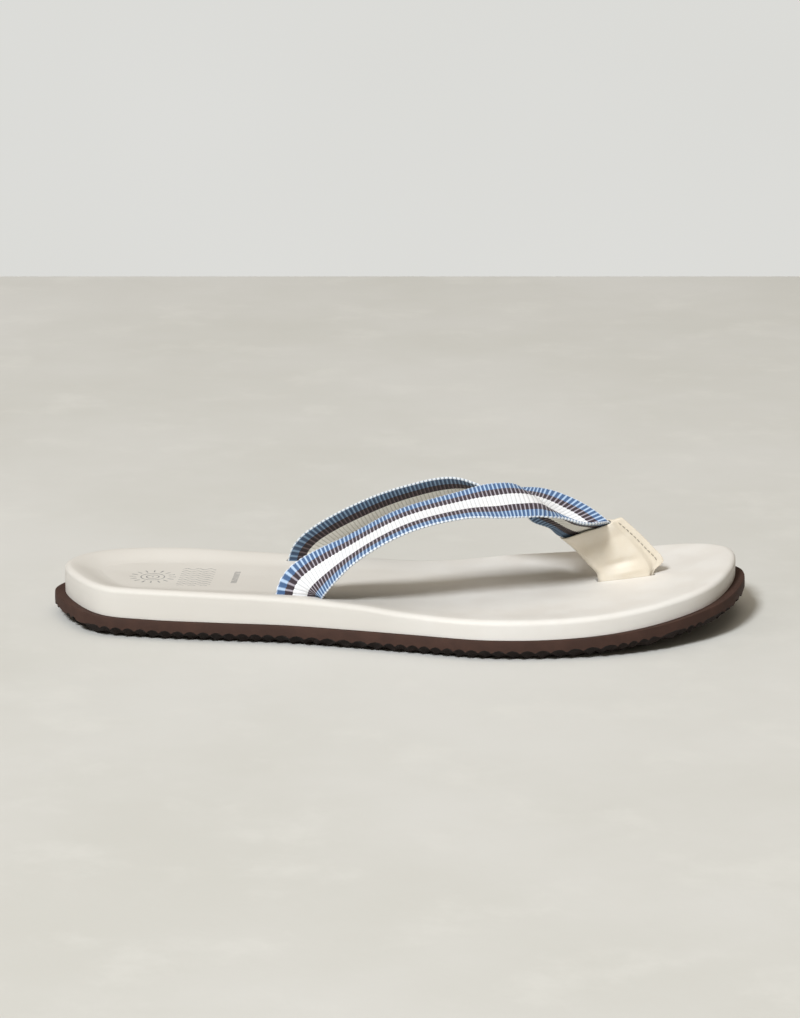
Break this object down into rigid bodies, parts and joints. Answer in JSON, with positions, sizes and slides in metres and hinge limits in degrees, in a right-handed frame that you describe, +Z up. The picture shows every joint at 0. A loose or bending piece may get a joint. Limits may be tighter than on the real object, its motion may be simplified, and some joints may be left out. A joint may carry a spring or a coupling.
{
  "type": "flip flop",
  "caption": "Open thong sandal for the right foot: foam footbed on a dark rubber outsole, striped ribbon straps and a stitched leather sleeve between the toes.",
  "frame": {"origin": "on the ground, under the middle of the sole's bounding box", "axes": "+X from heel to toes, +Y to the big-toe side, +Z up"},
  "size_m": [0.285, 0.1127, 0.0627],
  "materials": {
    "outsole_rubber": "moulded rubber, matt, dark brown",
    "footbed_foam": "smooth matt foam, warm off-white",
    "ribbon": "ribbed grosgrain, blue, dark and white stripes",
    "sleeve_leather": "soft suede-like leather, cream",
    "thread": "twisted sewing thread, cream",
    "anchor_felt": "non-woven felt, beige"
  },
  "bodies": {
    "root": {"outsole": "outsole_rubber", "footbed": "footbed_foam", "lateral_strap": "ribbon", "medial_strap": "ribbon", "toe_sleeve": "sleeve_leather", "outer_seam_thread": "thread", "inner_seam_thread": "thread", "lateral_anchor_patch": "anchor_felt", "medial_anchor_patch": "anchor_felt", "toe_anchor_patch": "anchor_felt", "lateral_strap_tack": "thread", "medial_strap_tack": "thread", "lateral_toe_tack": "thread", "medial_toe_tack": "thread"}
  },
  "joints": []
}
